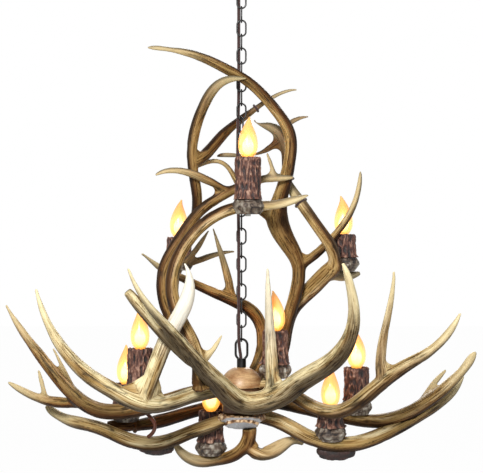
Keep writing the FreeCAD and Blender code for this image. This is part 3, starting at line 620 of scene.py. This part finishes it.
def wood_material(name, light, dark):
    """Smooth stained wood with faint rings and flecks."""
    s = Shader(name)
    grain = s.texture(s.stretched(s.place(), (1.0, 1.0, 4.0)), 45.0, 5.0, 0.6)
    fleck = s.texture(s.place(), 240.0, 3.0)
    body = s.ramp(grain, [(0.34, dark), (0.66, light)])
    dots = s.ramp(fleck, [(0.32, (0.6, 0.52, 0.45)), (0.45, (1.0, 1.0, 1.0))])
    s.link(s.blend("MULTIPLY", 0.6, body, dots), s.base.inputs["Base Color"])
    s.link(s.range(grain, 0.3, 0.7, 0.5, 0.34), s.base.inputs["Roughness"])
    s.bump(fleck, 0.0004, 0.5)
    return s.material


def metal_material(name, colour, metallic, rough, dents):
    """Metal or enamel, a little uneven and worn."""
    s = Shader(name)
    cloud = s.texture(s.place(), 90.0, 4.0)
    s.link(s.ramp(cloud, [(0.35, [c * 0.75 for c in colour]), (0.7, [min(1.0, c * 1.2) for c in colour])]),
           s.base.inputs["Base Color"])
    s.base.inputs["Metallic"].default_value = metallic
    s.link(s.range(cloud, 0.3, 0.7, rough - 0.08, rough + 0.1), s.base.inputs["Roughness"])
    s.bump(s.texture(s.place(), 400.0, 2.0), dents, 0.6)
    return s.material


def cord_material():
    """Braided cloth, dark red-brown."""
    s = Shader("cord")
    place = s.place()
    left = s.node("ShaderNodeTexWave", bands_direction="DIAGONAL")
    left.inputs["Scale"].default_value = 260.0
    left.inputs["Distortion"].default_value = 1.5
    s.link(place, left.inputs["Vector"])
    cloth = s.ramp(left.outputs["Fac"], [(0.2, srgb(0.09, 0.03, 0.02)), (0.8, srgb(0.26, 0.10, 0.08))])
    s.link(cloth, s.base.inputs["Base Color"])
    s.base.inputs["Roughness"].default_value = 0.75
    s.base.inputs["Sheen Weight"].default_value = 0.3
    s.bump(left.outputs["Fac"], 0.0006, 0.7)
    return s.material


def flame_material(name, stops, power, low, high):
    """Glow of one layer of a lit bulb: its colour by height, and how much is seen through it."""
    s = Shader(name)
    glow = s.attribute("glow").outputs["Fac"]
    mottle = s.texture(s.place(), 120.0, 2.0)
    tone = s.ramp(mottle, [(0.3, (0.92, 0.90, 0.86)), (0.7, (1.0, 1.0, 1.0))])
    lit = s.blend("MULTIPLY", 0.7, s.ramp(glow, stops), tone)
    s.link(lit, s.base.inputs["Emission Color"])
    s.base.inputs["Base Color"].default_value = (*srgb(0.95, 0.75, 0.45), 1.0)
    s.base.inputs["Emission Strength"].default_value = power
    s.link(s.range(glow, 0.5, 0.9, low, high), s.base.inputs["Alpha"])
    s.base.inputs["Roughness"].default_value = 0.15
    s.base.inputs["Specular IOR Level"].default_value = 0.4
    return s.material


def plastic_material(name, colour):
    s = Shader(name)
    fine = s.texture(s.place(), 500.0, 2.0)
    s.link(s.ramp(fine, [(0.3, [c * 0.7 for c in colour]), (0.7, colour)]), s.base.inputs["Base Color"])
    s.base.inputs["Roughness"].default_value = 0.45
    s.bump(fine, 0.0002, 0.4)
    return s.material


# ---------------------------------------------------------------- antlers
def carve(name, seed):
    """One antler: webs where its branches join, grooves along them, its stain, and painted shade on one side
    and where a neighbour is cut in.
    """
    routes = [Route(points) for points in ANTLERS[name]]
    struts = web_struts(routes, WEBS.get(name, WEB))
    piece = finely(NODES[name], ANTLER_VOXEL, name.replace("antler_", "horn_"), struts)
    mesh = piece.data
    places, normals, edges = read_mesh(mesh)
    reads = [route.read(places) for route in routes]
    gaps = np.array([(ratio - 1.0) * radius + np.maximum(radius - PALM / 2, 0.0)
                     for ratio, radius, *_ in reads])
    hard = gaps.min(axis=0)
    inside = smooth(-hard, 0.0016, 0.004)          # cut back for a neighbour: left as the CAD has it

    # the forks are smoothed where a second branch is near
    if len(routes) > 1:
        order = np.sort(gaps, axis=0)
        near = np.clip(1.0 - (order[1] - order[0]) / FORK_REACH, 0.0, 1.0)
        share = (0.6 * smooth(near, 0.0, 0.5) + 0.15) * (1.0 - inside)
        places = relaxed(places, edges, 18, share)
    weights = np.exp(-np.clip((gaps - hard) / 0.003, 0, 30))
    weights /= weights.sum(axis=0)

    groove = np.zeros(len(places))
    swell = np.zeros(len(places))
    patch = np.zeros(len(places))
    tip = np.zeros(len(places))
    pale = np.zeros(len(places))
    fuller = np.zeros(len(places))
    flow = np.zeros((len(places), 3))
    best = gaps.argmin(axis=0)
    for index, (route, (ratio, radius, along, cosine, sine)) in enumerate(zip(routes, reads)):
        wide = route.radius.max() * 1000
        own = seed + 7 * index
        girth = np.sqrt(radius * 1000.0 * wide)
        around = np.stack([cosine * girth * 0.20, sine * girth * 0.20, along * 14.0], axis=1)
        lines = np.exp(-(noise(around, own) / 0.15) ** 2)
        lines += 0.6 * np.exp(-(noise(around * [2.1, 2.1, 1.4] + 9.0, own + 1) / 0.16) ** 2)
        ends = [along * 1.0 if route.tapers[0] else np.full(len(along), 9.0),
                route.along[-1] - along if route.tapers[1] else np.full(len(along), 9.0)]
        left = np.minimum(*ends)
        weight = weights[index]
        fade = smooth(left, 0.02, 0.12)
        groove += weight * lines * fade
        swell += weight * layered(around * [0.5, 0.5, 1.0] + 4.0, own + 2, 2)
        patch += weight * layered(around * [0.7, 0.7, 0.8] + 7.0, own + 3, 3)
        tip += weight * (1.0 - smooth(left, 0.015, 0.13))
        pale += weight * PALE_BRANCHES.get((name, index), 0.0) * (1.0 - smooth(left, 0.10, 0.20))
        fuller += weight * FULLER.get((name, index), 0.0) * radius
        mine = best == index
        grain = radius * 1000.0 * 0.55
        flow[mine] = np.stack([cosine * grain, sine * grain, along * 20.0 + own], axis=1)[mine]

    wander = layered(places * 38.0, seed + 11, 3)
    deep = groove * (0.65 + 0.5 * wander)
    push = 0.0005 * swell * (1.0 - tip) - 0.0009 * np.clip(deep, 0, 1.6) + fuller
    ring = np.zeros(len(places))
    if name in BURRS:
        centre, width = BURRS[name]
        size = width * SCALE / 2
        ring = 1.0 - smooth(np.linalg.norm(places - seen(*centre), axis=1), size * 0.95, size * 1.35)
        push += ring * 0.0016 * layered(places * 260.0, seed + 5, 2)
    places = places + normals * (push * (1.0 - 0.7 * inside))[:, None]
    write_mesh(mesh, places)

    dark, orange, light = STAIN[name]
    normals = relaxed(normals, edges, 4)
    # Painted shade: each branch is painted darker on the side facing this way: downwards for most antlers,
    # outwards from the middle of their curve for the arches.
    shade_way = np.tile([0.0, 0.0, -1.0], (len(places), 1))
    if name in CURVED_ABOUT:
        shade_way = places - seen(*CURVED_ABOUT[name], 0)
        shade_way[:, 1] = 0.0
        shade_way /= np.maximum(np.linalg.norm(shade_way, axis=1), 1e-4)[:, None]
    low = (normals * shade_way).sum(axis=1) + 0.25 * swell
    painted_shade = smooth(low, -0.12, 0.62)
    tone = 0.34 + 0.60 * patch + dark - light * 0.5
    colour = mix(CREAM, TAN, smooth(tone, -0.05, 0.50))
    colour = mix(colour, BROWN, smooth(tone, 0.35, 1.05))
    colour = mix(colour, OLIVE, 0.45 * smooth(wander, 0.0, 0.6))
    colour = mix(colour, DARK * 1.6, smooth(tone, 0.95, 1.55))
    # The side that takes the painted shade also turns more orange, on top of each antler's orange stain.
    amber = orange * smooth(-patch + 0.5 * smooth(low, -0.2, 0.6), -0.1, 0.5) + 0.30 * smooth(low, -0.1, 0.5)
    colour = mix(colour, ORANGE, np.clip(amber, 0, 0.9) * (1.0 - 0.6 * light))
    colour = mix(colour, DARK, np.clip(0.80 * smooth(deep, 0.28, 0.95) * (1.0 - 0.8 * tip), 0, 1))
    # Painted shade: that side is painted nearly black.
    colour = mix(colour, DARK, np.clip(painted_shade * (0.82 + 0.3 * dark), 0, 0.96))
    colour = mix(colour, CREAM, 0.6 * tip * (1.0 - dark) * (1.0 - 0.5 * painted_shade))
    colour = mix(colour, PALE, np.clip(pale * (1.0 - 0.3 * painted_shade), 0, 1))
    colour = mix(colour, BROWN * 0.8, ring * 0.6)
    # Painted shade where the antler is cut back for a neighbouring antler that passes close.
    colour = mix(colour, DARK, 0.75 * inside)
    keep_colour(mesh, "stain_and_shade", colour)
    keep_vector(mesh, "flow", flow)
    keep_value(mesh, "streaked", 1.0 - 0.85 * np.clip(tip + pale, 0.0, 1.0))
    return piece


# ---------------------------------------------------------------- candles
def grid_faces(rows, columns, closed_rows):
    faces = []
    for row in range(rows if closed_rows else rows - 1):
        for column in range(columns):
            right = (column + 1) % columns
            up = (row + 1) % rows
            faces.append((row * columns + column, row * columns + right,
                          up * columns + right, up * columns + column))
    return faces


def bark_sleeve(number, column, row, depth, height):
    """A candle's sleeve: torn bark outside, a ragged rim, and a plain bore."""
    at = seen(column, row, depth)
    tall = height / 1000.0
    foot = at[2] - tall
    rise = np.arange(0.0, tall - 0.003, 0.0009)
    outline = [(SLEEVE_BORE, foot)]
    outline += [(SLEEVE_RADIUS + 0.0035 * math.exp(-z / 0.005), foot + z) for z in rise]
    outline += [(SLEEVE_RADIUS - 0.0008, at[2] - 0.0018), (SLEEVE_RADIUS - 0.0024, at[2] - 0.0003),
                (SLEEVE_BORE + 0.0012, at[2] - 0.0005), (SLEEVE_BORE, at[2] - 0.0025),
                (SLEEVE_BORE, at[2] - 0.02)]
    columns = 150
    angle = np.linspace(0, 2 * math.pi, columns, endpoint=False)
    r = np.repeat([p[0] for p in outline], columns)
    z = np.repeat([p[1] for p in outline], columns)
    c, s = np.tile(np.cos(angle), len(outline)), np.tile(np.sin(angle), len(outline))
    field = np.stack([c * 5.5, s * 5.5, z * 70.0], axis=1) + number * 5.0
    strands = 1.0 - np.abs(noise(field, 3)) * 2.6
    chips = layered(field * [1.6, 1.6, 2.2] + 11.0, 5, 3)
    ridge = np.clip(0.5 + 0.42 * strands * 0.7 + 0.45 * chips, 0.0, 1.3)
    outer = np.where((r > SLEEVE_BORE + 0.0004), 1.0, 0.0)
    flare = np.exp(-(z - foot) / (0.10 * tall + 0.002))
    lobes = flare * (0.4 + noise(np.stack([c * 2.2, s * 2.2, z * 0 + number], axis=1), 8))
    r = r + outer * (0.0044 * (ridge - 0.65) + 0.0055 * lobes)
    z = z + outer * np.where(z > at[2] - 0.003, 0.0020 * chips, 0.0)
    places = np.stack([at[0] + r * c, at[1] + r * s, z], axis=1)
    piece = new_piece("bark_%d" % number, places, grid_faces(len(outline), columns, True))
    keep_value(piece.data, "ridge", np.where(outer > 0, ridge, 0.25))
    return piece


def cup_piece():
    """The candles' feet, swollen into root-like lobes."""
    piece = finely(NODES["candle_cups"], CUP_VOXEL, "root_cups")
    mesh = piece.data
    places, normals, edges = read_mesh(mesh)
    lumps = layered(places * [110.0, 110.0, 75.0], 3, 3)
    cracks = 1.0 - np.exp(-(noise(places * [150.0, 150.0, 90.0] + 5.0, 6) / 0.2) ** 2)
    ridge = np.clip(0.25 + 0.55 * lumps + 0.32 * cracks, 0, 1)
    side = smooth(1.0 - np.abs(normals[:, 2]), 0.2, 0.7)
    places = places + normals * (side * 0.0060 * (ridge - 0.70))[:, None]
    write_mesh(mesh, relaxed(places, edges, 1, 0.4))
    keep_value(mesh, "ridge", ridge)
    return piece


def rosette_piece():
    """The burr under the hub, beaded round its edge, with its sawn face below."""
    piece = finely(NODES["hub_rosette"], ROSETTE_VOXEL, "burr_rosette")
    mesh = piece.data
    places, normals, edges = read_mesh(mesh)
    low = places[:, 2].min()
    out = np.hypot(places[:, 0], places[:, 1] + 0.012)
    down = -normals[:, 2] * 0.94 - normals[:, 1] * 0.34
    face = smooth(down, 0.70, 0.90) * (1.0 - smooth(out, 0.036, 0.040)) * (places[:, 2] < low + 0.030)
    beads = np.abs(noise(places * 170.0, 2)) * 1.6
    ridge = np.clip(0.25 + 0.8 * beads + 0.25 * layered(places * 300.0, 4, 2), 0, 1)
    places = places + normals * ((1.0 - face) * 0.0034 * (ridge - 0.45))[:, None]
    write_mesh(mesh, relaxed(places, edges, 1, 0.3))
    keep_value(mesh, "ridge", ridge)
    keep_value(mesh, "face", face)
    return piece


def knot_piece(number, column, row, depth, wide, tall):
    """A rough lump on the underside of an antler."""
    centre = seen(column, row, depth)
    rows, columns = 24, 40
    up = np.repeat(np.linspace(-0.98, 0.98, rows), columns) * math.pi / 2
    turn = np.tile(np.linspace(0, 2 * math.pi, columns, endpoint=False), rows)
    way = np.stack([np.cos(up) * np.cos(turn), np.cos(up) * np.sin(turn), np.sin(up)], axis=1)
    lumps = layered(way * 2.6 + number * 9.0, 4, 3)
    size = np.array([wide * SCALE / 2, 0.010, tall * SCALE / 2])
    faces = grid_faces(rows, columns, False)
    faces += [tuple(range(columns))[::-1], tuple(range((rows - 1) * columns, rows * columns))]
    piece = new_piece("knot_%d" % number, centre + way * size * (1.0 + 0.16 * lumps)[:, None], faces)
    keep_value(piece.data, "ridge", np.clip(0.28 + 0.30 * lumps, 0.0, 1.0))
    return piece


def swept(name, line, across, third, radius, closed):
    """A round bar along a line, with its ends shut or joined."""
    columns = 12
    angle = np.linspace(0, 2 * math.pi, columns, endpoint=False)
    places = (line[:, None, :] + radius * (np.cos(angle)[None, :, None] * across[:, None, :]
                                           + np.sin(angle)[None, :, None] * third[:, None, :]))
    faces = grid_faces(len(line), columns, closed)
    if not closed:
        faces += [tuple(range(columns))[::-1], tuple(range((len(line) - 1) * columns, len(line) * columns))]
    return new_piece(name, places.reshape(-1, 3), faces)


def tie_piece(number, name, branch, column, row):
    """A turn of dark wire round a branch where it crosses another."""
    route = Route(ANTLERS[name][branch])
    place = seen(column, row, 0)
    index = int(np.hypot(route.line[:, 0] - place[0], route.line[:, 2] - place[2]).argmin())
    turn = np.linspace(0, 2 * math.pi, 60, endpoint=False)[:, None]
    out = np.cos(turn) * route.across[index] + np.sin(turn) * route.third[index]
    along = np.repeat(route.tangent[index][None, :], len(turn), axis=0)
    return swept("tie_%d" % number, route.line[index] + out * (route.radius[index] + TIE_RADIUS * 0.4),
                 out, along, TIE_RADIUS, True)


def flame(name, column, row, depth, bend, slim, tall):
    """A flame-shaped bulb on its seat, with its tip bent over, or one of the glowing layers inside it."""
    at = seen(column, row, depth)
    start = at[2] + BULB_SEAT + (1.0 - tall) * 0.22 * BULB_LENGTH
    heading = math.radians(bend)
    knots = np.array([0.0, 0.1, 0.24, 0.38, 0.56, 0.74, 0.88, 1.0])
    fat = np.array([[0.34], [0.72], [0.96], [1.0], [0.86], [0.56], [0.28], [0.07]])
    shift = np.array([[0.0], [0.0], [0.0], [0.0], [0.0], [0.01], [0.03], [0.07]])
    share = np.linspace(0.0, 1.0, 64)
    radius = spread(fat, knots, share)[:, 0] * BULB_RADIUS * slim
    lean = spread(shift, knots, share)[:, 0] * BULB_LENGTH * tall
    columns = 48
    angle = np.linspace(0, 2 * math.pi, columns, endpoint=False)
    c, s = np.tile(np.cos(angle), len(share)), np.tile(np.sin(angle), len(share))
    r = np.repeat(radius, columns)
    places = np.stack([at[0] + r * c + np.repeat(lean, columns) * math.cos(heading),
                       at[1] + r * s + np.repeat(lean, columns) * math.sin(heading),
                       start + np.repeat(share, columns) * BULB_LENGTH * tall], axis=1)
    faces = grid_faces(len(share), columns, False)
    faces.append(tuple(range(columns))[::-1])
    faces.append(tuple(range((len(share) - 1) * columns, len(share) * columns)))
    piece = new_piece(name, places, faces)
    keep_value(piece.data, "glow", np.repeat(share, columns))
    return piece


# ---------------------------------------------------------------- cord
def cord_stops():
    """Down the canopy's nipple, beside the links with the chain's twist, and into the hub."""
    stops = [(0.0, 0.0, NIPPLE_END), (0.0, 0.0, LOOP_NECK), (PAST_LOOP, 180.0 - LOOP_TURN, SWAY_Z + 0.0096)]
    for index in range(0, LINK_COUNT, 2):
        twist = CHAIN_TWIST * min(max((index - TWIST_START) / (TWIST_END - TWIST_START), 0.0), 1.0)
        stops.append((PAST_LINK, 135.0 + twist, FIRST_LINK_Z - index * LINK_PITCH))
    stops += [(PAST_LOOP, 180.0 + LOOP_TURN, TILT_Z - 0.0064), (0.0, 0.0, HUB_NECK), (0.0, 0.0, CORD_END)]
    return [Vector((r * math.cos(math.radians(turn)), r * math.sin(math.radians(turn)), z))
            for r, turn, z in stops]


def cord_piece():
    stops = cord_stops()
    curve = bpy.data.curves.new("cord", "CURVE")
    curve.dimensions = "3D"
    curve.bevel_depth = CORD_RADIUS
    curve.bevel_resolution = 5
    curve.resolution_u = 10
    spline = curve.splines.new("NURBS")
    spline.points.add(len(stops) - 1)
    for point, stop in zip(spline.points, stops):
        point.co = (*stop, 1.0)
    spline.order_u = 3
    spline.use_endpoint_u = True
    piece = bpy.data.objects.new("flex", curve)
    bpy.context.scene.collection.objects.link(piece)
    return piece


# ---------------------------------------------------------------- build
flex = cord_piece()
flex.data.materials.append(cord_material())
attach(flex, "chain")
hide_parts("supply_cord")

antler = antler_material()
for order, name in enumerate(ANTLERS):
    horn = carve(name, 100 * order + 17)
    horn.data.materials.append(antler)
    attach(horn, "fixture")
    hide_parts(name)

bark = bark_material()
# Layers of a bulb from the glass inwards: name, width and height as shares, material.
LAYERS = [
    ("flame", 1.0, 1.0, flame_material("flame_glass", [
        (0.0, srgb(0.93, 0.60, 0.18)), (0.28, srgb(0.97, 0.72, 0.28)), (0.46, srgb(0.95, 0.60, 0.18)),
        (0.68, srgb(0.85, 0.42, 0.10)), (0.95, srgb(0.42, 0.17, 0.06))], 0.92, 0.55, 0.97)),
    ("glow", 0.80, 0.74, flame_material("flame_glow", [
        (0.0, srgb(1.0, 0.80, 0.36)), (0.4, srgb(1.0, 0.92, 0.55)), (1.0, srgb(0.98, 0.62, 0.20))],
        1.1, 0.45, 0.3)),
    ("filament", 0.58, 0.50, flame_material("flame_core", [
        (0.0, srgb(1.0, 0.93, 0.66)), (0.5, srgb(1.0, 1.0, 0.95)), (1.0, srgb(1.0, 0.88, 0.50))],
        3.0, 1.0, 1.0)),
]
for number, (column, row, depth, height, bend) in enumerate(CANDLES, 1):
    sleeve = bark_sleeve(number, column, row, depth, height)
    sleeve.data.materials.append(bark)
    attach(sleeve, "fixture")
    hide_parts("candle_sleeves")
    for layer, slim, tall, look in LAYERS:
        bulb = flame("%s_%d" % (layer, number), column, row, depth, bend, slim, tall)
        bulb.data.materials.append(look)
        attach(bulb, "lamp_%d" % number)
        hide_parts("bulb_%d" % number)

cord_look = flex.data.materials[0]
strap = Route(STRAP)
small = [(knot_piece(number, *row), bark, "bark_resin") for number, row in enumerate(KNOTS, 1)]
small += [(tie_piece(number, *row), cord_look, "cord_cloth") for number, row in enumerate(TIES, 1)]
small.append((swept("strap", strap.line, strap.across, strap.third, strap.radius.mean(), False),
              plastic_material("strap_brown", srgb(0.40, 0.19, 0.09)), "cord_cloth"))
for piece, look, slot in small:
    piece.data.materials.append(look)
    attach(piece, "fixture")

cups = cup_piece()
cups.data.materials.append(cup_material())
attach(cups, "fixture")
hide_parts("candle_cups")

rosette = rosette_piece()
rosette.data.materials.append(rosette_material())
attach(rosette, "fixture")
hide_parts("hub_rosette")

black = metal_material("black_enamel", srgb(0.045, 0.04, 0.04), 0.2, 0.36, 0.0003)
steel = metal_material("zinc_steel", srgb(0.72, 0.72, 0.70), 0.9, 0.35, 0.0001)
brass = metal_material("brass_shell", srgb(0.82, 0.66, 0.34), 1.0, 0.3, 0.0001)
finishes = {
    "canopy": black, "canopy_loop": black, "chain_links": black, "hub_loop": black,
    "canopy_crossbar": steel, "canopy_locknuts": steel, "canopy_nipple": steel, "hub_nipple": steel,
    "socket_pipes": steel, "socket_shells": brass,
    "hub_cap": wood_material("cap_wood", srgb(0.82, 0.68, 0.50), srgb(0.60, 0.42, 0.26)),
    "hub_block": wood_material("block_wood", srgb(0.42, 0.28, 0.17), srgb(0.26, 0.16, 0.09)),
    "lamp_sockets": plastic_material("socket_black", srgb(0.16, 0.15, 0.14)),
}
for number in range(1, len(CANDLES) + 1):
    finishes["bulb_cap_%d" % number] = brass
for name, material in finishes.items():
    mesh = NODES[name].data
    mesh.materials.clear()
    mesh.materials.append(material)

# ---------------------------------------------------------------- studio
def seen_or_mirrored(tree):
    """1 for rays from the camera, off gloss or through glass, which see the white backdrop."""
    path = tree.nodes.new("ShaderNodeLightPath")
    total = path.outputs["Is Camera Ray"]
    for name in ("Is Glossy Ray", "Is Transmission Ray"):
        most = tree.nodes.new("ShaderNodeMath")
        most.operation = "MAXIMUM"
        tree.links.new(total, most.inputs[0])
        tree.links.new(path.outputs[name], most.inputs[1])
        total = most.outputs[0]
    return total


FLOOR_WHITE = 0.985       # share of the floor's look that is white; the rest keeps the shadow
FLOOR_DROP, FLOOR_HALF = 0.5, 12      # metres below the object, and from the middle to an edge
WORLD_LIGHT = 0.13
floor_z = cad_box[0][2] - FLOOR_DROP
corners = [(x * FLOOR_HALF, y * FLOOR_HALF, floor_z) for x, y in ((-1, -1), (1, -1), (1, 1), (-1, 1))]
floor = new_piece("floor", corners, [(0, 1, 2, 3)])
floor_look = bpy.data.materials.new("floor")
floor_look.use_nodes = True
tree = floor_look.node_tree
base = tree.nodes["Principled BSDF"]
base.inputs["Base Color"].default_value = (*srgb(0.74, 0.74, 0.73), 1.0)
base.inputs["Roughness"].default_value = 0.9
lit = tree.nodes.new("ShaderNodeEmission")
share = tree.nodes.new("ShaderNodeMath")
share.operation = "MULTIPLY"
share.inputs[1].default_value = FLOOR_WHITE
chosen = tree.nodes.new("ShaderNodeMixShader")
tree.links.new(seen_or_mirrored(tree), share.inputs[0])
tree.links.new(share.outputs[0], chosen.inputs[0])
tree.links.new(base.outputs[0], chosen.inputs[1])
tree.links.new(lit.outputs[0], chosen.inputs[2])
tree.links.new(chosen.outputs[0], tree.nodes["Material Output"].inputs[0])
floor.data.materials.append(floor_look)

world = bpy.context.scene.world or bpy.data.worlds.new("studio")
bpy.context.scene.world = world
world.use_nodes = True
tree = world.node_tree
tree.nodes.clear()
plain = tree.nodes.new("ShaderNodeBackground")
plain.inputs[0].default_value = (0.95, 0.97, 1.0, 1.0)
plain.inputs[1].default_value = WORLD_LIGHT
white = tree.nodes.new("ShaderNodeBackground")
white.inputs[0].default_value = (1.0, 1.0, 1.0, 1.0)
white.inputs[1].default_value = 1.0
chosen = tree.nodes.new("ShaderNodeMixShader")
sink = tree.nodes.new("ShaderNodeOutputWorld")
tree.links.new(seen_or_mirrored(tree), chosen.inputs[0])
tree.links.new(plain.outputs[0], chosen.inputs[1])
tree.links.new(white.outputs[0], chosen.inputs[2])
tree.links.new(chosen.outputs[0], sink.inputs[0])


def lamp(name, place, aim, size, power, colour):
    data = bpy.data.lights.new(name, "AREA")
    data.shape = "DISK"
    data.size = size
    data.energy = power
    data.color = colour
    obj = bpy.data.objects.new(name, data)
    bpy.context.scene.collection.objects.link(obj)
    obj.location = place
    obj.rotation_euler = (Vector(aim) - Vector(place)).to_track_quat("-Z", "Y").to_euler()


middle = (0.0, 0.0, -0.65)
lamp("key", (-0.6, -2.8, 0.6), middle, 0.9, 118.0, (1.0, 0.99, 0.97))
lamp("fill", (2.2, -1.6, 0.2), middle, 1.6, 8.0, (0.98, 0.99, 1.0))
lamp("back", (0.4, 2.8, 0.7), middle, 1.6, 60.0, (1.0, 0.99, 0.97))

camera_data = bpy.data.cameras.new("camera")
camera_data.sensor_width = SENSOR
camera_data.lens = SENSOR * EYE / (PHOTO_WIDE * SCALE)
camera_data.clip_end = 60.0
camera = bpy.data.objects.new("camera", camera_data)
bpy.context.scene.collection.objects.link(camera)
camera.location = (0.0, -EYE, EYE_Z)
camera.rotation_euler = (math.pi / 2, 0.0, 0.0)
bpy.context.scene.camera = camera
bpy.context.scene.view_settings.view_transform = "Standard"
